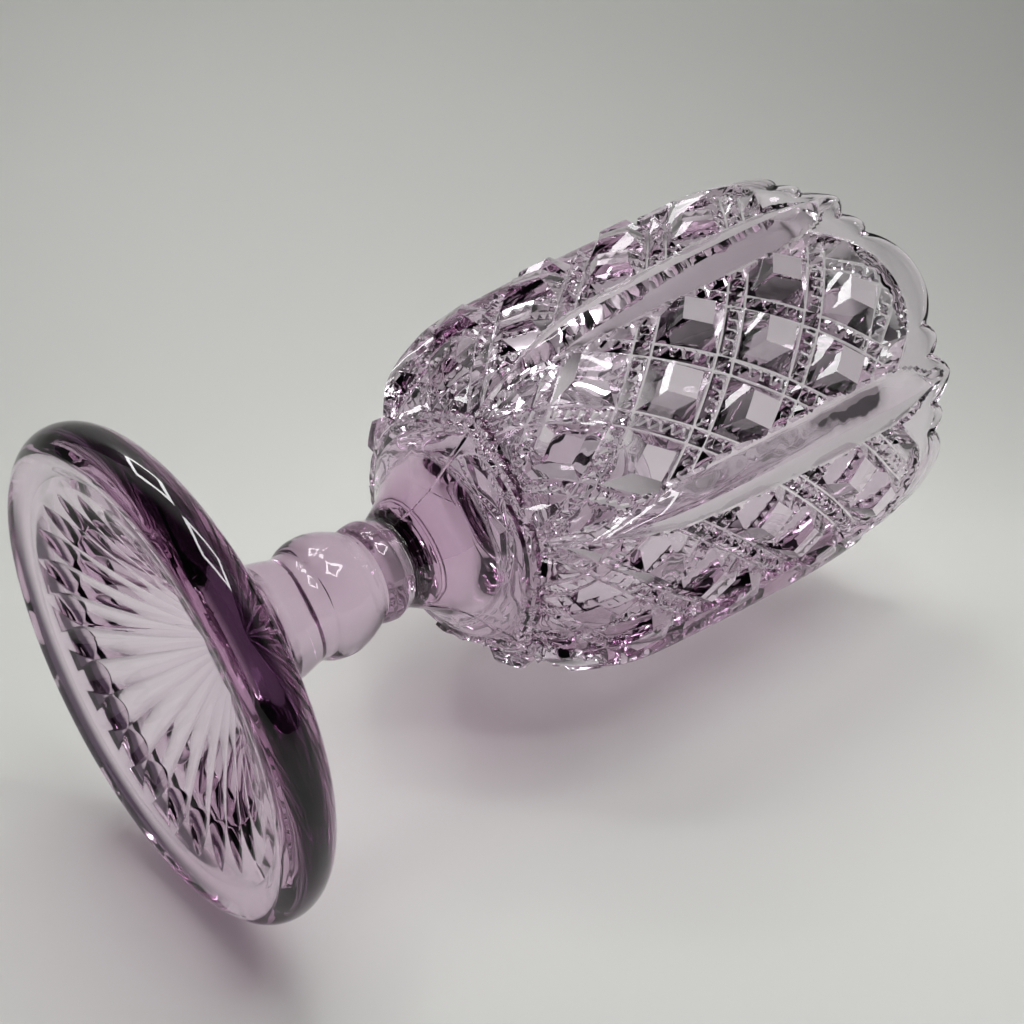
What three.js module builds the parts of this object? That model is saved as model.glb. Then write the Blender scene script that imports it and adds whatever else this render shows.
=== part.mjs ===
// Footed pressed-glass vase: fluted foot, knopped stem, joining wafer and a ribbed,
// diamond-patterned bowl with a scalloped rim. Millimetres, +Z up, the foot rests on z = 0.
import * as THREE from 'three';

// Overall
const COLUMNS = 48;
const JOINT_GAP = 0.3;

// Foot
const FOOT_RADIUS = 48;
const EDGE_TUBE = 5.1;
const REST_INNER = 41.2;
const REST_OUTER = 44.6;
const RECESS_RADIUS = 40;
const RECESS_TOP = 21.5;
const FLUTE_DEPTH = 1.6;
const FOOT_TOP = 27;
const FOOT_TOP_RADIUS = 12.5;

// Stem: radius at each height
const STEM_PROFILE = [
  [27.3, 12.45], [31, 11.7], [34.5, 11], [36, 11.3], [37.5, 12.2], [39.5, 12.8],
  [41.5, 12.9], [44, 12.5], [47, 11.4], [49.7, 10], [51.2, 10.6], [53.5, 10.95],
  [55.6, 10.3], [56.7, 9.75],
];

// Wafer between stem and bowl
const WAFER_PROFILE = [[57, 9.75], [58.2, 10.2], [59.2, 10.5], [59.7, 10.8]];

// Bowl
const RIB_COUNT = 6;
const BOWL_FOOT = WAFER_PROFILE[WAFER_PROFILE.length - 1][0] + JOINT_GAP;
const BOWL_ENVELOPE = [
  [60, 11.2], [62, 12.2], [64, 13.8], [66, 15.8], [68, 18.3], [70, 20.9], [72, 23.6],
  [74, 26.3], [76, 29], [78, 31.8], [80, 34.3], [83, 37], [88, 40], [92, 41.8], [98, 44.2],
  [105, 45.8], [122, 48], [136, 49.6], [150, 51], [160, 52], [174, 53], [190, 53.5],
  [202, 53.2],
];
const SMOOTH_BASE_HEIGHTS = [60, 62, 64, 66, 68, 70.5];
const RIB_START = 75;
const MARGIN_DEPTH = 1;
const PANEL_TOP = 189.5;
const DIAMOND_HEIGHT = 31;
const DIAMOND_ANGLE = 30;
const DIAMOND_RELIEF = 2.6;
const PANEL_CENTRE_ANGLE = 30;
const PANEL_CENTRE_HEIGHT = 174;
const RIM_HEIGHTS = [200, 192.8, 193.4, 198.6, 201, 198.6, 193.4, 192.8];
const RIM_THICKNESS = 3;
const WALL = 4.5;
const CAVITY_BOTTOM = 76;
const CAVITY_HEIGHTS = [190, 174, 150, 122, 105, 90, 84];
const CAVITY_FLOOR = [[22, 79.5], [12, 77]];

const AMETHYST = new THREE.MeshStandardMaterial({
  color: 0xb8a6bb,
  roughness: 0.06,
  metalness: 0,
  transparent: true,
  opacity: 0.55,
});

function interpolate(table, x) {
  const last = table.length - 1;
  if (x <= table[0][0]) return table[0][1];
  for (let i = 0; i < last; i += 1) {
    const [x0, y0] = table[i];
    const [x1, y1] = table[i + 1];
    if (x <= x1) return y0 + ((y1 - y0) * (x - x0)) / (x1 - x0);
  }
  return table[last][1];
}

// Closed body from rings of COLUMNS points between two points on the axis. Each ring is a
// function of the column that gives [radius, height].
function closedBody(bottomPole, rings, topPole) {
  const positions = [0, 0, bottomPole];
  rings.forEach((ring) => {
    for (let column = 0; column < COLUMNS; column += 1) {
      const angle = (2 * Math.PI * column) / COLUMNS;
      const [radius, height] = ring(column);
      positions.push(radius * Math.cos(angle), radius * Math.sin(angle), height);
    }
  });
  positions.push(0, 0, topPole);

  const indices = [];
  const vertex = (ring, column) => 1 + ring * COLUMNS + (column % COLUMNS);
  const lastRing = rings.length - 1;
  const lastVertex = 1 + rings.length * COLUMNS;
  for (let column = 0; column < COLUMNS; column += 1) {
    indices.push(0, vertex(0, column + 1), vertex(0, column));
    indices.push(lastVertex, vertex(lastRing, column), vertex(lastRing, column + 1));
  }
  for (let ring = 0; ring < lastRing; ring += 1) {
    for (let column = 0; column < COLUMNS; column += 1) {
      const a = vertex(ring, column);
      const b = vertex(ring, column + 1);
      const c = vertex(ring + 1, column + 1);
      const d = vertex(ring + 1, column);
      if ((ring + column) % 2 === 1) indices.push(a, b, c, a, c, d);
      else indices.push(a, b, d, b, c, d);
    }
  }
  const geometry = new THREE.BufferGeometry();
  geometry.setAttribute('position', new THREE.Float32BufferAttribute(positions, 3));
  geometry.setIndex(indices);
  geometry.computeVertexNormals();
  return geometry;
}

const plain = (radius, height) => () => [radius, height];

// Underside of the foot: 24 flutes between ridges that meet in a domed centre.
function fluteRing(radius, height, depth) {
  return (column) => [radius, column % 2 === 0 ? height : height + depth];
}

function buildFoot() {
  const centre = FOOT_RADIUS - EDGE_TUBE;
  const edge = (degrees) => {
    const angle = (degrees * Math.PI) / 180;
    return plain(centre + EDGE_TUBE * Math.sin(angle), EDGE_TUBE - EDGE_TUBE * Math.cos(angle));
  };
  const rings = [
    fluteRing(5, 20.4, FLUTE_DEPTH * 0.3),
    fluteRing(12, 16.9, FLUTE_DEPTH * 0.7),
    fluteRing(22, 11.2, FLUTE_DEPTH),
    fluteRing(32, 5.4, FLUTE_DEPTH),
    fluteRing(38, 2.3, FLUTE_DEPTH * 0.8),
    plain(RECESS_RADIUS, 1.4),
    plain(REST_INNER, 0),
    plain(REST_OUTER, 0),
    edge(45),
    edge(70),
    edge(95),
    edge(120),
    edge(145),
    edge(172),
    plain(37, 10.9),
    plain(30, 13.2),
    plain(23, 16.6),
    plain(17.5, 20.8),
    plain(14.2, 24.2),
    plain(FOOT_TOP_RADIUS, FOOT_TOP),
  ];
  return closedBody(RECESS_TOP, rings, FOOT_TOP);
}

function buildTurned(profile) {
  const rings = profile.map(([height, radius]) => plain(radius, height));
  return closedBody(profile[0][0], rings, profile[profile.length - 1][0]);
}

function columnAngle(column) {
  return ((360 * column) / COLUMNS) % (360 / RIB_COUNT);
}

function diamondDepth(angle, height) {
  const across = Math.abs(angle - PANEL_CENTRE_ANGLE) / DIAMOND_ANGLE;
  const along = Math.abs(height - PANEL_CENTRE_HEIGHT) / DIAMOND_HEIGHT;
  const u = Math.abs(((across + along + 0.5) % 1) - 0.5);
  const v = Math.abs(((across - along + 64.5) % 1) - 0.5);
  return DIAMOND_RELIEF * 2 * Math.max(u, v);
}

// Outside of the bowl: ribs stand proud on every eighth column, diamonds fill the panels.
function bowlRadius(column, height) {
  const angle = columnAngle(column);
  const envelope = interpolate(BOWL_ENVELOPE, height);
  if (height < RIB_START) return envelope;
  if (angle !== 0 && height > PANEL_TOP - 0.01) return envelope - MARGIN_DEPTH;
  if (angle === 0) return envelope;
  const atRibEdge = angle === 7.5 || angle === 52.5;
  return envelope - (atRibEdge ? DIAMOND_RELIEF : diamondDepth(angle, height));
}

function buildBowl() {
  const step = DIAMOND_HEIGHT / 4;
  const patternHeights = [];
  for (let row = -13; row <= 2; row += 1) {
    patternHeights.push(PANEL_CENTRE_HEIGHT + row * step);
  }
  const outside = [...SMOOTH_BASE_HEIGHTS, ...patternHeights];
  const rimHeight = (column) => RIM_HEIGHTS[column % RIM_HEIGHTS.length];
  const rimRadius = interpolate(BOWL_ENVELOPE, 196) - 0.6;
  const innerRadius = (height) => {
    const taper = THREE.MathUtils.smoothstep(height, 176, 190);
    const wall = DIAMOND_RELIEF + WALL - taper * (DIAMOND_RELIEF + WALL - RIM_THICKNESS - 0.6);
    return interpolate(BOWL_ENVELOPE, height) - wall;
  };
  const rings = [
    ...outside.map((height) => (column) => [bowlRadius(column, height), height]),
    (column) => [rimRadius, rimHeight(column) - 0.9],
    (column) => [rimRadius - RIM_THICKNESS / 2, rimHeight(column)],
    (column) => [rimRadius - RIM_THICKNESS, rimHeight(column) - 0.9],
    ...CAVITY_HEIGHTS.map((height) => plain(innerRadius(height), height)),
    ...CAVITY_FLOOR.map(([radius, height]) => plain(radius, height)),
  ];
  return closedBody(BOWL_FOOT, rings, CAVITY_BOTTOM);
}

function node(name, geometry) {
  const mesh = new THREE.Mesh(geometry, AMETHYST);
  mesh.name = name;
  return mesh;
}

const vase = new THREE.Group();
vase.name = 'footed_vase';
vase.add(node('foot', buildFoot()));
vase.add(node('stem', buildTurned(STEM_PROFILE)));
vase.add(node('wafer', buildTurned(WAFER_PROFILE)));
vase.add(node('bowl', buildBowl()));

export default vase;
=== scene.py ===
"""Amethyst pressed-glass footed vase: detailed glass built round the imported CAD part."""
import math

import bpy
import numpy as np
from mathutils import Matrix, Vector


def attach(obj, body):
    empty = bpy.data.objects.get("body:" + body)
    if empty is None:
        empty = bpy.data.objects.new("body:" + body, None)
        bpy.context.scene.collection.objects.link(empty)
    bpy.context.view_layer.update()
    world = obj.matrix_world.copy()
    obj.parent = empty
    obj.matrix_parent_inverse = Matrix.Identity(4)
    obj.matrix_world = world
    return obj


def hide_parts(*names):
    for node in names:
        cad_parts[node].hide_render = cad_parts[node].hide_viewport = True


MM = 0.001

# Camera and stage directions, in the row frame
CAMERA_AT = Vector((-0.1563, -0.1175, -0.05775))
CAMERA_RIGHT = Vector((-0.16546, -0.69054, 0.70411))
CAMERA_UP = Vector((-0.75098, 0.55101, 0.36389))
CAMERA_LENS = 38.31
FLOOR_DOWN = Vector((0.963, -0.267, -0.035)).normalized()
FLOOR_OFFSET = 0.0512
TENT_DEPTH = 0.47
TENT_CURVE = 0.16
TENT_COLUMNS = (-0.7, -0.25, -0.15, -0.05, 0.05, 0.15, 0.25, 0.7)

# Edges sharper than these angles, in degrees, stay sharp
PLAIN_CREASE = 35
FOOT_CREASE = 24
BOWL_CREASE = 17

# Heights in millimetres where one piece of the vase meets the next
FOOT_TOP = 27.15
STEM_TOP = 56.85
WAFER_TOP = 59.85

# Lamps in the roof of the tent, metres
LAMP_SIDE = 0.22
LAMP_STRIP = 0.03
LAMP_GLOW = 14.2
LAMP_HEIGHT = 0.44
LAMP_AHEAD = 0.02
LAMP_SPREAD = 1.1
PANEL_SIZE = (0.42, 0.34)
PANEL_WATTS = 0.22
PANEL_HEIGHT = 0.55
PANEL_BACK = 0.08
PANEL_COLOUR = (1, 0.99, 0.97)

# Surface tint of the glass. The outer face of the foot's edge gets a much darker painted shade,
# for the dark room seen in it, because the depth of colour alone leaves it too light.
CLEAR_TINT = (0.95, 0.915, 0.955, 1)
EDGE_PAINTED_SHADE = (0.025, 0.015, 0.03, 1)
DEPTH_COLOUR = (0.73, 0.45, 0.67, 1)
DEPTH_DENSITY = 32
SHADOW_COLOUR = (0.615, 0.61, 0.605, 1)
GLASS_IOR = 1.52
SMUDGE_ROUGHNESS = 0.04
WAVE_HEIGHT = 0.0004

# Tent cloth, the painted shade on it, and the light round it
CLOTH_COLOUR = (0.785, 0.795, 0.765)
FLOOR_LEFT_SHADE = 0.84
FLOOR_SHADE_GAIN = 0.16
WALL_SHADE_LOSS = 0.3
LOW_CLOTH_LIGHT = (0.045, 0.045, 0.044, 1)
ROOF_LIGHT = (0.55, 0.565, 0.54, 1)
ROOM_LIGHT = (0.02, 0.018, 0.021, 1)

# Foot
FOOT_RADIUS = 48.0
EDGE_TUBE = 5.1
RECESS_EDGE = 39.5
DOME_START = 37.6
RECESS_EDGE_HEIGHT = 1.9
RECESS_DOME = 20.0
FLUTES = 24
FLUTE_DEPTH = 2.1
FLUTE_PHASE = 3.0
FLUTE_TIP = 36.8
FLUTE_FULL = 29.3
FOOT_TOP_PROFILE = [(42.9, 10.2), (40, 10.35), (37, 10.9), (30, 13.2), (23, 16.6),
                    (17.5, 20.8), (14.2, 24.2), (12.45, FOOT_TOP)]

# Stem and wafer, (height, radius)
STEM_PROFILE = [(FOOT_TOP, 12.45), (31, 11.7), (34.5, 11.0), (35.9, 11.15), (36.3, 11.55), (37.5, 12.3),
                (39.5, 12.8), (41.5, 12.9), (44, 12.5), (47, 11.4), (49.3, 10.2), (49.8, 10.0),
                (50.3, 10.3), (51.5, 10.75), (53.5, 10.95), (55.2, 10.5), (STEM_TOP, 9.8)]
WAFER_PROFILE = [(STEM_TOP, 9.8), (57.6, 9.7), (58.6, 10.1), (59.2, 10.6), (WAFER_TOP, 11.05)]

# Bowl, (height, radius) of the outside before the pattern is cut
BOWL_PROFILE = [(WAFER_TOP, 11.05), (61, 11.7), (62.5, 12.6), (64, 13.8), (66, 15.8), (68, 18.3),
                (70, 20.9), (72, 23.6), (74, 26.3), (76, 29), (78, 31.8), (80, 34.3), (83, 37),
                (88, 40), (92, 41.8), (98, 44.2), (105, 45.8), (122, 48), (136, 49.6), (150, 51),
                (160, 52), (174, 53), (184, 53.4), (190, 53.5)]
INNER_PROFILE = [(190, 50.0), (182, 48.0), (174, 46.2), (160, 45.0), (150, 44.1), (136, 42.7),
                 (122, 41.1), (105, 38.9), (98, 37.2), (92, 34.6), (88, 32.2), (84, 29.0),
                 (81, 24.5), (79, 19.0), (77.6, 12.5), (77, 6.0), (76.8, 0.6)]
RIM_RADIUS = 53.3
PEAK_HALF_ANGLE = 6.8
PEAK_RISE = 7.2
SMALL_ANGLE = 8.6
SMALL_END_ANGLE = 15.4
SMALL_RISE = 3.6
BIG_HALF_ANGLE = 14.6
BIG_RISE = 7.8
RIM_THICKNESS = 2.5
BOWL_FLOOR = 76.8
MARGIN_DEPTH = 1.5
CELL = 0.75
CELL_RISE = 0.775
DIAMOND_ANGLE = 30.0
DIAMOND_HEIGHT = 31.0
PANEL_CENTRE = 174.0
BAND_EDGE = 0.375
BLOCK_TOP = 0.175
BLOCK_DEPTH = 4.5
BAND_TOP = 2.0
BAND_LINE = 0.40
NOTCH_HALF = 0.075
TOP_EASE = 0.4
TOP_EASE_HEIGHTS = (178, 188)
ARCH_TOP = 188
ARCH_DROP = 13.5
ARCH_HALF_ANGLE = 22.5
BEAD_RISE = 1.3
BEAD_WIDTH = 0.8
CUP_LINE = 74.6
CUP_LIFT = 2.4
CUP_CUT = 0.9
CUP_BEAD_RISE = 0.75
CUP_BEAD_OFFSETS = (0.5, 1.7)
CUP_BEAD_WIDTH = 0.4
CROSSING_TOP = 1.6
RIB_HALF_WIDTH = [(75, 0.6), (80, 1.8), (90, 4.3), (100, 6.0), (120, 7.0), (150, 7.3), (172, 7.1),
                  (180, 5.9), (185, 4.2), (188.5, 2.2), (191, 0.3)]
RIB_RISE = 0.6
RIB_FALL = 3.2
RIB_CROWN = 1.35
RIB_HEIGHTS = (76, 191)
RIB_GROOVE = 1.0


def hermite(points, x):
    """Smooth monotone curve through (x, y) points."""
    px, py = np.array(points, float).T
    if px[0] > px[-1]:
        px, py = px[::-1], py[::-1]
    h = np.diff(px)
    slope = np.diff(py) / h
    m = np.empty_like(px)
    m[0], m[-1] = slope[0], slope[-1]
    same = slope[:-1] * slope[1:] > 0
    m[1:-1] = np.where(same, 2 * slope[:-1] * slope[1:] / np.where(same, slope[:-1] + slope[1:], 1), 0)
    x = np.clip(x, px[0], px[-1])
    i = np.clip(np.searchsorted(px, x) - 1, 0, len(h) - 1)
    t = (x - px[i]) / h[i]
    return ((2 * t**3 - 3 * t**2 + 1) * py[i] + (t**3 - 2 * t**2 + t) * h[i] * m[i]
            + (3 * t**2 - 2 * t**3) * py[i + 1] + (t**3 - t**2) * h[i] * m[i + 1])


def smoothstep(a, b, x):
    t = np.clip((x - a) / (b - a), 0, 1)
    return t * t * (3 - 2 * t)


def wrap(angle, period):
    """Signed distance from the nearest multiple of the period."""
    return (angle + period / 2) % period - period / 2


def glass_object(name, radius, height, closed_ends, centre_heights, crease=PLAIN_CREASE,
                 middle=None, painted_edge_shade=None):
    """Closed body from a grid of rings: radius and height are (rows, columns) in millimetres.

    closed_ends says for the first and the last ring whether the face that closes it is a
    joint with the next piece of glass. A crease angle keeps sharper edges sharp. middle
    gives the true middle of each cell, so that creases run along the cells' diagonals.
    The last argument is 1 where the glass gets the painted shade of the foot's edge.
    """
    rows, cols = radius.shape
    angle = np.radians(180 + np.arange(cols) * 360 / cols)
    xyz = np.stack([radius * np.cos(angle), radius * np.sin(angle), height], -1).reshape(-1, 3)
    poles = np.array([[0, 0, centre_heights[0]], [0, 0, centre_heights[1]]])
    verts = np.vstack([xyz, poles]) * MM
    i, j = np.meshgrid(np.arange(rows - 1), np.arange(cols), indexing="ij")
    a = i * cols + j
    b = i * cols + (j + 1) % cols
    c, d = b + cols, a + cols
    one, other = verts[a] + verts[c], verts[b] + verts[d]
    flip = np.zeros(a.shape, bool)
    if middle is not None:
        mid_r, mid_h = middle
        half = math.pi / cols
        centre = np.stack([mid_r * np.cos(angle + half), mid_r * np.sin(angle + half), mid_h], -1) * MM
        k = len(mid_r)
        miss = [np.linalg.norm(pair[:k] / 2 - centre, axis=-1) for pair in (one, other)]
        flip[:k] = miss[1] < miss[0] - 3e-5
    first = np.where(flip[..., None], np.stack([a, b, d], -1), np.stack([a, b, c], -1))
    second = np.where(flip[..., None], np.stack([b, c, d], -1), np.stack([a, c, d], -1))
    ring = np.arange(cols)
    nxt = (ring + 1) % cols
    low, high = rows * cols, rows * cols + 1
    last = (rows - 1) * cols
    cap0 = np.stack([np.full(cols, low), nxt, ring], -1)
    cap1 = np.stack([np.full(cols, high), last + ring, last + nxt], -1)
    faces = np.concatenate([first.reshape(-1, 3), second.reshape(-1, 3), cap0, cap1])
    mesh = bpy.data.meshes.new(name)
    mesh.from_pydata(verts.tolist(), [], faces.tolist())
    joint = np.zeros(len(faces), np.float32)
    count = len(faces)
    joint[count - 2 * cols:count - cols] = closed_ends[0]
    joint[count - cols:] = closed_ends[1]
    mesh.attributes.new("joint", "FLOAT", "FACE").data.foreach_set("value", joint)
    if painted_edge_shade is not None:
        values = np.append(painted_edge_shade.ravel(), (0, 0)).astype(np.float32)
        mesh.attributes.new("painted_edge_shade", "FLOAT", "POINT").data.foreach_set("value", values)
    mesh.shade_smooth()
    mesh.set_sharp_from_angle(angle=math.radians(crease))
    mesh.validate()
    obj = bpy.data.objects.new(name, mesh)
    bpy.context.scene.collection.objects.link(obj)
    return obj


def seam(angle, width=0.5):
    """Fine mould line at three of the six ribs, as a height in millimetres."""
    return np.exp(-((wrap(angle, 120.0) / width) ** 2))


def build_foot():
    """Round foot: fluted domed recess, rest ring, rounded edge and the rise to the stem."""
    cols = 960
    angle = np.arange(cols) * 360 / cols
    flute = wrap(angle - FLUTE_PHASE, 360 / FLUTES) / (180 / FLUTES)
    radii = np.concatenate([np.linspace(1.2, 28, 40), np.linspace(28.25, RECESS_EDGE, 46)])
    r, f = np.meshgrid(radii, flute, indexing="ij")
    dome = RECESS_EDGE_HEIGHT + RECESS_DOME * np.clip(1 - r / DOME_START, 0, 1) ** 1.35
    # Each flute is a gouge that runs out of the dome in a pointed leaf
    leaf = np.clip((FLUTE_TIP - r) / (FLUTE_TIP - FLUTE_FULL), 1e-4, 1) ** 0.7
    depth = FLUTE_DEPTH * np.minimum(r / 33, 1) ** 0.9 * leaf ** 1.5 * (1 - (f / leaf) ** 2)
    under_h = dome + np.maximum(depth, 0)
    band = np.array([40.3, 41.1, 41.8, 42.5, 43.3, 44.0, 44.5])
    band_h = np.array([1.5, 0.95, 0.5, 0.15, 0.0, 0.0, 0.1])
    centre = FOOT_RADIUS - EDGE_TUBE
    turn = np.radians(np.linspace(28, 180, 30))
    edge_r, edge_h = centre + EDGE_TUBE * np.sin(turn), EDGE_TUBE * (1 - np.cos(turn))
    top_r = np.concatenate([np.linspace(42.2, 20, 30), np.linspace(19.5, 12.45, 16)])
    top_h = hermite(FOOT_TOP_PROFILE, top_r)
    plain_r = np.concatenate([band, edge_r, top_r])
    plain_h = np.concatenate([band_h, edge_h, top_h])
    rr = np.vstack([r, np.repeat(plain_r[:, None], cols, 1)])
    hh = np.vstack([under_h, np.repeat(plain_h[:, None], cols, 1)])
    top = np.zeros(len(rr), bool)
    top[-len(top_r) + 2:-1] = True
    hh[top] += 0.12 * seam(angle, 0.8)[None, :]
    # Painted shade on the outer face of the foot's edge, for the dark room seen in it
    painted_edge_shade = np.zeros(rr.shape)
    first = len(r) + len(band)
    painted_shade_band = smoothstep(22, 55, np.degrees(turn)) * (1 - smoothstep(95, 130, np.degrees(turn)))
    painted_edge_shade[first:first + len(turn)] = painted_shade_band[:, None]
    ends = (hh[0].mean(), FOOT_TOP)
    return glass_object("foot_glass", rr, hh, (0, 1), ends, FOOT_CREASE, painted_edge_shade=painted_edge_shade)


def build_turned(name, profile, step):
    """Plain turned piece with fine mould lines."""
    cols = 480
    angle = np.arange(cols) * 360 / cols
    z0, z1 = profile[0][0], profile[-1][0]
    heights = np.linspace(z0, z1, int((z1 - z0) / step) + 1)
    radius = hermite(profile, heights)
    rr = np.repeat(radius[:, None], cols, 1)
    rr[1:-1] += 0.08 * seam(angle, 1.5)[None, :]
    hh = np.repeat(heights[:, None], cols, 1)
    return glass_object(name, rr, hh, (1, 1), (z0, z1))


def lattice(angle, height):
    """Depth of the cut pattern: flat-topped blocks between notched bands."""
    a = (angle - 30) / DIAMOND_ANGLE
    b = (height - PANEL_CENTRE) / DIAMOND_HEIGHT
    u, v = a + b, a - b
    du, dv = np.abs(wrap(u, 1.0)), np.abs(wrap(v, 1.0))
    block = BLOCK_DEPTH * np.clip((np.maximum(du, dv) - BLOCK_TOP) / (BAND_EDGE - BLOCK_TOP), 0, 1)

    pitch = (BLOCK_DEPTH - BAND_TOP) / (0.5 - BAND_LINE)

    def band(across, along):
        roof = BLOCK_DEPTH - pitch * np.clip(across - BAND_LINE, 0, 1)
        notch = BAND_TOP + pitch * (NOTCH_HALF - np.abs(wrap(along, 2 * NOTCH_HALF)))
        end = BLOCK_DEPTH - pitch * (BAND_EDGE - along)
        return np.minimum(np.maximum(roof, np.maximum(notch, end)), BLOCK_DEPTH)

    corner = np.clip(np.minimum(du, dv) - BAND_LINE, 0, 1)
    crossing = BLOCK_DEPTH - (BLOCK_DEPTH - CROSSING_TOP) * corner / (0.5 - BAND_LINE)
    depth = np.where((du > BAND_EDGE) & (dv > BAND_EDGE), crossing,
                     np.where(du > BAND_EDGE, band(du, dv),
                              np.where(dv > BAND_EDGE, band(dv, du), block)))
    return depth


def rim_height(angle):
    """Top of the rim: a peak over each rib, then a small and a big scallop on each side."""
    d = np.abs(wrap(angle, 60.0))
    small_share = np.clip((d - PEAK_HALF_ANGLE) / SMALL_ANGLE, 0, 1)
    big_share = np.clip((30 - d) / BIG_HALF_ANGLE, 0, 1)
    peak = 192.8 + PEAK_RISE * (1 - np.clip(d / PEAK_HALF_ANGLE, 0, 1) ** 1.5)
    small = 192.6 + SMALL_RISE * np.sin(np.pi * small_share) ** 0.8
    big = 193.2 + BIG_RISE * (1 - big_share ** 2.2) ** 0.8
    return np.where(d < PEAK_HALF_ANGLE, peak, np.where(d < SMALL_END_ANGLE, small, big))


def bowl_outside(q, angle, path):
    """Radius and height of the patterned outside at path positions q and angles."""
    q_path, z_path, r_path = path
    z, r = np.interp(q, q_path, z_path), np.interp(q, q_path, r_path)
    dz = np.interp(q + 0.05, q_path, z_path) - np.interp(q - 0.05, q_path, z_path)
    dr = np.interp(q + 0.05, q_path, r_path) - np.interp(q - 0.05, q_path, r_path)
    length = np.hypot(dz, dr)
    nr, nz = (dz / length)[:, None], (-dr / length)[:, None]
    Z, A = np.meshgrid(z, angle, indexing="ij")
    Q = np.repeat(q[:, None], len(angle), 1)

    cut = lattice(A % 60, Q) * np.clip(r / 44, 0.5, 1)[:, None]
    # The pattern is shallower at the top, where the wall thins towards the rim
    cut = cut * (1 - TOP_EASE * smoothstep(*TOP_EASE_HEIGHTS, Z))
    from_panel = np.abs(A % 60 - 30)
    arch = ARCH_TOP - ARCH_DROP * (from_panel / ARCH_HALF_ANGLE) ** 2.3
    bead = MARGIN_DEPTH - BEAD_RISE * np.exp(-(((Z - arch) / BEAD_WIDTH) ** 2))
    cut = np.where(Z > arch, bead, cut)
    cut = np.where(np.abs(Z - arch) < 1.0, np.minimum(cut, bead), cut)
    # Ribs stand over the pattern
    d = np.abs(wrap(A, 60.0))
    half = np.interp(Z, *np.array(RIB_HALF_WIDTH).T)
    rib = -RIB_RISE + RIB_FALL * (d / half) ** RIB_CROWN
    rib_zone = (Z > RIB_HEIGHTS[0]) & (Z < RIB_HEIGHTS[1])
    foot_of_rib = RIB_FALL - RIB_RISE
    cut = np.where((d < half + RIB_GROOVE) & rib_zone, foot_of_rib, cut)
    cut = np.where((d < half) & rib_zone, rib, cut)
    # Smooth cup at the base, bounded by a double line
    off_seam = np.abs(wrap(A, 120.0))
    line = CUP_LINE + CUP_LIFT * np.clip(1 - off_seam / 60, 0, 1) ** 2.5
    below = Z - line
    cup = CUP_CUT
    for offset in CUP_BEAD_OFFSETS:
        cup = cup - CUP_BEAD_RISE * np.exp(-(((below + offset) / CUP_BEAD_WIDTH) ** 2))
    cut = np.where(Z < line, cup * smoothstep(62, 68, Z), cut)
    cut = cut - 0.3 * seam(A, 0.45) * (Z < 78)
    cut = cut * smoothstep(WAFER_TOP, WAFER_TOP + 1.5, Z)
    return r[:, None] - cut * nr, z[:, None] - cut * nz


def build_bowl():
    """Bowl: patterned outside, scalloped rim and smooth inside, as one closed body."""
    cols = int(360 / CELL)
    angle = np.arange(cols) * CELL
    # Pattern rows are even steps along the profile; above 100 mm a step is a step in height.
    fine_z = np.linspace(WAFER_TOP, 190, 4000)
    fine_r = hermite(BOWL_PROFILE, fine_z)
    travel = np.concatenate([[0], np.cumsum(np.hypot(np.diff(fine_z), np.diff(fine_r)))])
    at_100 = np.interp(100, fine_z, travel)
    along = np.where(fine_z < 100, 100 + travel - at_100, fine_z)
    path = (along, fine_z, fine_r)
    first_row = math.ceil((along[0] - PANEL_CENTRE) / CELL_RISE + 0.3)
    last_row = int((190 - PANEL_CENTRE) / CELL_RISE)
    q = np.concatenate([[along[0]], PANEL_CENTRE + CELL_RISE * np.arange(first_row, last_row + 1)])
    outer_r, outer_z = bowl_outside(q, angle, path)
    middle = bowl_outside((q[1:] + q[:-1]) / 2, angle + CELL / 2, path)

    top = rim_height(angle)
    k = np.linspace(0, 1, 12)[1:, None]
    z_end = outer_z[-1][None, :]
    rim_out_z = z_end + (top[None, :] - 1.2 - z_end) * k
    r_end = outer_r[-1][None, :]
    rim_out_r = r_end + (RIM_RADIUS - 0.4 - r_end) * smoothstep(0, 1, k)
    turn = np.radians(np.array([25, 50, 75, 90, 105, 130, 155]))[:, None]
    half_t = RIM_THICKNESS / 2
    lip_r = RIM_RADIUS - 0.4 - half_t + half_t * np.cos(turn) + 0 * top[None, :]
    lip_z = top[None, :] - 1.2 + 1.2 * np.sin(turn)
    inner_top = RIM_RADIUS - 0.4 - RIM_THICKNESS
    rim_in_z = (top[None, :] - 1.2) + (190 - (top[None, :] - 1.2)) * np.linspace(0, 1, 6)[:-1, None]
    down = np.linspace(0, 1, 6)[:-1, None]
    rim_in_r = inner_top + (INNER_PROFILE[0][1] - inner_top) * smoothstep(0, 1, down) + 0 * rim_in_z
    inside_z = np.concatenate([np.linspace(190, 84, 46), np.linspace(83, 78, 14), [77.6, 77.3, 77.1, 76.95]])
    inside_r = hermite(INNER_PROFILE, inside_z)
    inside_z2 = np.repeat(inside_z[:, None], cols, 1)
    inside_r2 = np.repeat(inside_r[:, None], cols, 1)
    rr = np.vstack([outer_r, rim_out_r, lip_r, rim_in_r, inside_r2])
    hh = np.vstack([outer_z, rim_out_z, lip_z, rim_in_z, inside_z2])
    return glass_object("bowl_glass", rr, hh, (1, 0), (WAFER_TOP, BOWL_FLOOR), BOWL_CREASE, middle)


def new_material(name):
    material = bpy.data.materials.new(name)
    material.use_nodes = True
    material.node_tree.nodes.clear()
    return material, material.node_tree.nodes, material.node_tree.links


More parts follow.
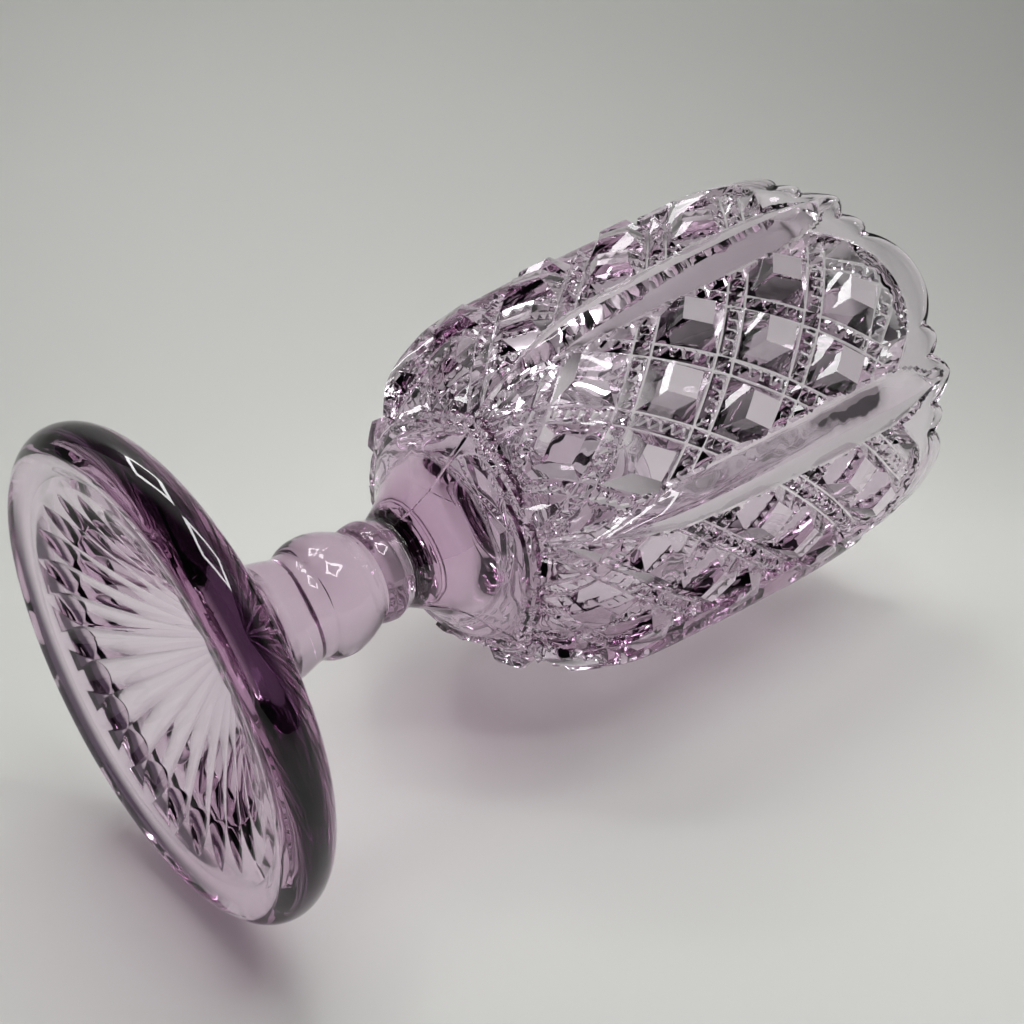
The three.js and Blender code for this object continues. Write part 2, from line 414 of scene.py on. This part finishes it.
def glass_material():
    """Amethyst glass: clear, slightly waved, coloured by depth. Joint faces let light straight on."""
    material, nodes, links = new_material("amethyst_glass")
    out = nodes.new("ShaderNodeOutputMaterial")
    glass = nodes.new("ShaderNodeBsdfPrincipled")
    # Painted shade: the surface colour turns near black on the outer face of the foot's edge
    tint_and_painted_shade = nodes.new("ShaderNodeMix")
    tint_and_painted_shade.data_type = "RGBA"
    tint_and_painted_shade.inputs["A"].default_value = CLEAR_TINT
    tint_and_painted_shade.inputs["B"].default_value = EDGE_PAINTED_SHADE
    painted_edge_shade = nodes.new("ShaderNodeAttribute")
    painted_edge_shade.attribute_name = "painted_edge_shade"
    links.new(painted_edge_shade.outputs["Fac"], tint_and_painted_shade.inputs["Factor"])
    links.new(tint_and_painted_shade.outputs["Result"], glass.inputs["Base Color"])
    glass.inputs["Transmission Weight"].default_value = 1
    glass.inputs["IOR"].default_value = GLASS_IOR
    coords = nodes.new("ShaderNodeTexCoord")
    smudge = nodes.new("ShaderNodeTexNoise")
    smudge.inputs["Scale"].default_value = 38
    smudge.inputs["Detail"].default_value = 4
    rough = nodes.new("ShaderNodeMapRange")
    rough.inputs["From Min"].default_value = 0.45
    rough.inputs["From Max"].default_value = 0.75
    rough.inputs["To Min"].default_value = 0.0
    rough.inputs["To Max"].default_value = SMUDGE_ROUGHNESS
    links.new(coords.outputs["Object"], smudge.inputs["Vector"])
    links.new(smudge.outputs["Fac"], rough.inputs["Value"])
    links.new(rough.outputs["Result"], glass.inputs["Roughness"])
    wave = nodes.new("ShaderNodeTexNoise")
    wave.inputs["Scale"].default_value = 75
    wave.inputs["Detail"].default_value = 2
    bump = nodes.new("ShaderNodeBump")
    bump.inputs["Strength"].default_value = 0.35
    bump.inputs["Distance"].default_value = WAVE_HEIGHT
    links.new(coords.outputs["Object"], wave.inputs["Vector"])
    links.new(wave.outputs["Fac"], bump.inputs["Height"])
    links.new(bump.outputs["Normal"], glass.inputs["Normal"])
    clear = nodes.new("ShaderNodeBsdfTransparent")
    shade = nodes.new("ShaderNodeBsdfTransparent")
    shade.inputs["Color"].default_value = SHADOW_COLOUR
    path = nodes.new("ShaderNodeLightPath")
    lamps = nodes.new("ShaderNodeMixShader")
    links.new(path.outputs["Is Shadow Ray"], lamps.inputs["Fac"])
    links.new(glass.outputs["BSDF"], lamps.inputs[1])
    links.new(shade.outputs["BSDF"], lamps.inputs[2])
    joint = nodes.new("ShaderNodeAttribute")
    joint.attribute_name = "joint"
    mix = nodes.new("ShaderNodeMixShader")
    links.new(joint.outputs["Fac"], mix.inputs["Fac"])
    links.new(lamps.outputs["Shader"], mix.inputs[1])
    links.new(clear.outputs["BSDF"], mix.inputs[2])
    links.new(mix.outputs["Shader"], out.inputs["Surface"])
    volume = nodes.new("ShaderNodeVolumeAbsorption")
    volume.inputs["Color"].default_value = DEPTH_COLOUR
    volume.inputs["Density"].default_value = DEPTH_DENSITY
    links.new(volume.outputs["Volume"], out.inputs["Volume"])
    return material


def tent_material(name, colour):
    """Matt white cloth seen only from inside the tent, a little random in tone, with painted shade that
    makes it look unevenly lit.
    """
    material, nodes, links = new_material(name)
    out = nodes.new("ShaderNodeOutputMaterial")
    cloth = nodes.new("ShaderNodeBsdfDiffuse")
    noise = nodes.new("ShaderNodeTexNoise")
    noise.inputs["Scale"].default_value = 9
    ramp = nodes.new("ShaderNodeMapRange")
    ramp.inputs["To Min"].default_value = 0.97
    ramp.inputs["To Max"].default_value = 1.03
    scale = nodes.new("ShaderNodeVectorMath")
    scale.operation = "SCALE"
    scale.inputs[0].default_value = colour
    links.new(noise.outputs["Fac"], ramp.inputs["Value"])
    shade = nodes.new("ShaderNodeAttribute")
    shade.attribute_name = "shade"
    tone_and_painted_shade = nodes.new("ShaderNodeMath")
    tone_and_painted_shade.operation = "MULTIPLY"
    links.new(ramp.outputs["Result"], tone_and_painted_shade.inputs[0])
    links.new(shade.outputs["Fac"], tone_and_painted_shade.inputs[1])
    links.new(tone_and_painted_shade.outputs["Value"], scale.inputs["Scale"])
    links.new(scale.outputs["Vector"], cloth.inputs["Color"])
    away = nodes.new("ShaderNodeBsdfTransparent")
    side = nodes.new("ShaderNodeNewGeometry")
    mix = nodes.new("ShaderNodeMixShader")
    links.new(side.outputs["Backfacing"], mix.inputs["Fac"])
    links.new(cloth.outputs["BSDF"], mix.inputs[1])
    links.new(away.outputs["BSDF"], mix.inputs[2])
    links.new(mix.outputs["Shader"], out.inputs["Surface"])
    return material


def stage_axes():
    """Directions into the picture, to its right and up from the floor the vase lies on."""
    up = -FLOOR_DOWN
    view = CAMERA_UP.cross(CAMERA_RIGHT)
    ahead = (view - view.dot(up) * up).normalized()
    side = ahead.cross(up).normalized()
    return ahead, side, up


def build_tent():
    """Floor that the vase lies on, curving up into the back wall."""
    ahead, side, up = stage_axes()
    ground = CAMERA_AT - up * (CAMERA_AT.dot(up) + FLOOR_OFFSET)
    section = [(-0.5, 0.0), (0.1, 0.0), (0.2, 0.0), (TENT_DEPTH - TENT_CURVE, 0.0)]
    for step in range(1, 17):
        turn = math.radians(90 * step / 16)
        run = TENT_DEPTH - TENT_CURVE + TENT_CURVE * math.sin(turn)
        section.append((run, TENT_CURVE * (1 - math.cos(turn))))
    section.append((TENT_DEPTH, 0.9))
    verts, faces, painted_cloth_shade = [], [], []
    for run, rise in section:
        for across in TENT_COLUMNS:
            verts.append(ground + ahead * run + up * rise + side * across)
            # Painted shade: the floor darker towards the left, the wall darker towards the right, for uneven
            # light in the tent
            on_wall = min(1.0, max(0.0, (run + rise - 0.25) / 0.35))
            to_right = min(1.0, max(0.0, 0.5 + across / 0.5))
            floor_shade = FLOOR_LEFT_SHADE + FLOOR_SHADE_GAIN * to_right
            wall_shade = 1.0 - WALL_SHADE_LOSS * to_right
            painted_cloth_shade.append(floor_shade + (wall_shade - floor_shade) * on_wall)
    wide = len(TENT_COLUMNS)
    for k in range(len(section) - 1):
        for j in range(wide - 1):
            first = wide * k + j
            faces.append((first, first + 1, first + 1 + wide, first + wide))
    mesh = bpy.data.meshes.new("tent")
    mesh.from_pydata([v[:] for v in verts], [], faces)
    mesh.attributes.new("shade", "FLOAT", "POINT").data.foreach_set("value", painted_cloth_shade)
    mesh.shade_smooth()
    tent = bpy.data.objects.new("tent", mesh)
    bpy.context.scene.collection.objects.link(tent)
    if mesh.polygons[0].normal.dot(up) < 0:
        mesh.flip_normals()
    mesh.materials.append(tent_material("tent_cloth", CLOTH_COLOUR))


def build_world():
    """Soft light from all round the tent, and a dim room through its open front."""
    ahead, side, up = stage_axes()
    world = bpy.data.worlds.new("tent_light")
    bpy.context.scene.world = world
    world.use_nodes = True
    nodes, links = world.node_tree.nodes, world.node_tree.links
    nodes.clear()
    out = nodes.new("ShaderNodeOutputWorld")
    back = nodes.new("ShaderNodeBackground")
    coords = nodes.new("ShaderNodeTexCoord")
    toward = nodes.new("ShaderNodeVectorMath")
    toward.operation = "DOT_PRODUCT"
    toward.inputs[1].default_value = (-ahead * 0.93 + up * 0.1 - side * 0.1).normalized()
    links.new(coords.outputs["Generated"], toward.inputs[0])
    room = nodes.new("ShaderNodeMapRange")
    room.interpolation_type = "SMOOTHSTEP"
    room.inputs["From Min"].default_value = -0.1
    room.inputs["From Max"].default_value = 0.3
    links.new(toward.outputs["Value"], room.inputs["Value"])
    mix = nodes.new("ShaderNodeMix")
    mix.data_type = "RGBA"
    above = nodes.new("ShaderNodeVectorMath")
    above.operation = "DOT_PRODUCT"
    above.inputs[1].default_value = up
    links.new(coords.outputs["Generated"], above.inputs[0])
    roof = nodes.new("ShaderNodeMapRange")
    roof.inputs["From Min"].default_value = 0.1
    roof.inputs["From Max"].default_value = 0.9
    links.new(above.outputs["Value"], roof.inputs["Value"])
    cloth = nodes.new("ShaderNodeMix")
    cloth.data_type = "RGBA"
    cloth.inputs["A"].default_value = LOW_CLOTH_LIGHT
    cloth.inputs["B"].default_value = ROOF_LIGHT
    links.new(roof.outputs["Result"], cloth.inputs["Factor"])
    links.new(cloth.outputs["Result"], mix.inputs["A"])
    mix.inputs["B"].default_value = ROOM_LIGHT
    links.new(room.outputs["Result"], mix.inputs["Factor"])
    links.new(mix.outputs["Result"], back.inputs["Color"])
    back.inputs["Strength"].default_value = 1.0
    links.new(back.outputs["Background"], out.inputs["Surface"])


def area_light(name, at, target, size, watts, colour=(1, 1, 1)):
    """Rectangular lamp that faces the target."""
    data = bpy.data.lights.new(name, "AREA")
    data.shape = "RECTANGLE"
    data.size, data.size_y = size
    data.energy = watts
    data.color = colour
    light = bpy.data.objects.new(name, data)
    light.location = at
    light.rotation_mode = "QUATERNION"
    light.rotation_quaternion = (Vector(target) - Vector(at)).to_track_quat("-Z", "Y")
    bpy.context.scene.collection.objects.link(light)
    return light


def build_lamp_frames(at, side, facing):
    """Two square rings of lamps in the roof, which show as bright outlines on the knop."""
    across = facing.cross(side).normalized()
    verts, faces = [], []
    for shift in (-0.5, 0.5):
        centre = at + facing * 0.01 + (side + across) * shift * LAMP_SIDE * LAMP_SPREAD
        first = len(verts)
        for size in (LAMP_SIDE / 2, LAMP_SIDE / 2 - LAMP_STRIP):
            for u, v in ((-1, -1), (1, -1), (1, 1), (-1, 1)):
                verts.append((centre + side * u * size + across * v * size)[:])
        for k in range(4):
            faces.append((first + k, first + (k + 1) % 4, first + 4 + (k + 1) % 4, first + 4 + k))
    mesh = bpy.data.meshes.new("lamp_frames")
    mesh.from_pydata(verts, [], faces)
    material, nodes, links = new_material("lamp")
    out = nodes.new("ShaderNodeOutputMaterial")
    glow = nodes.new("ShaderNodeEmission")
    glow.inputs["Strength"].default_value = LAMP_GLOW
    links.new(glow.outputs["Emission"], out.inputs["Surface"])
    mesh.materials.append(material)
    lamps = bpy.data.objects.new("lamp_frames", mesh)
    bpy.context.scene.collection.objects.link(lamps)
    lamps.visible_camera = False


def build_lights():
    ahead, side, up = stage_axes()
    middle = Vector((0, 0, 0.1))
    at = middle + up * PANEL_HEIGHT - ahead * PANEL_BACK
    panel = area_light("top_panel", at, middle, PANEL_SIZE, PANEL_WATTS, PANEL_COLOUR)
    panel.visible_glossy = False
    build_lamp_frames(middle + up * LAMP_HEIGHT + ahead * LAMP_AHEAD, side, -up)


def build_camera():
    """Camera where the photograph was taken from."""
    data = bpy.data.cameras.new("camera")
    data.sensor_width = 36
    data.lens = CAMERA_LENS
    camera = bpy.data.objects.new("camera", data)
    right, up = CAMERA_RIGHT.normalized(), CAMERA_UP.normalized()
    back = right.cross(up)
    camera.matrix_world = Matrix.Translation(CAMERA_AT) @ Matrix((right, up, back)).transposed().to_4x4()
    data.clip_start, data.clip_end = 0.01, 20
    bpy.context.scene.collection.objects.link(camera)
    bpy.context.scene.camera = camera


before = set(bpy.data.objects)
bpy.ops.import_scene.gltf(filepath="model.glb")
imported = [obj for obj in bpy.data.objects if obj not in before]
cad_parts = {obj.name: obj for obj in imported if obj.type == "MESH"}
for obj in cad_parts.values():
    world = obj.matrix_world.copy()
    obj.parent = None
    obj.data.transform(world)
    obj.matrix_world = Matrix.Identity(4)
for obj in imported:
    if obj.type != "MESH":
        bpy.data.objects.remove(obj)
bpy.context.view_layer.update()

glass = glass_material()
PIECES = {
    "foot": build_foot(),
    "stem": build_turned("stem_glass", STEM_PROFILE, 0.35),
    "wafer": build_turned("wafer_glass", WAFER_PROFILE, 0.3),
    "bowl": build_bowl(),
}
for node, piece in PIECES.items():
    piece.data.materials.append(glass)
    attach(piece, "root")
    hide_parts(node)

build_tent()
build_world()
build_lights()
build_camera()

scene = bpy.context.scene
scene.view_settings.view_transform = "Standard"
scene.cycles.max_bounces = 16
scene.cycles.transmission_bounces = 16
scene.cycles.transparent_max_bounces = 12
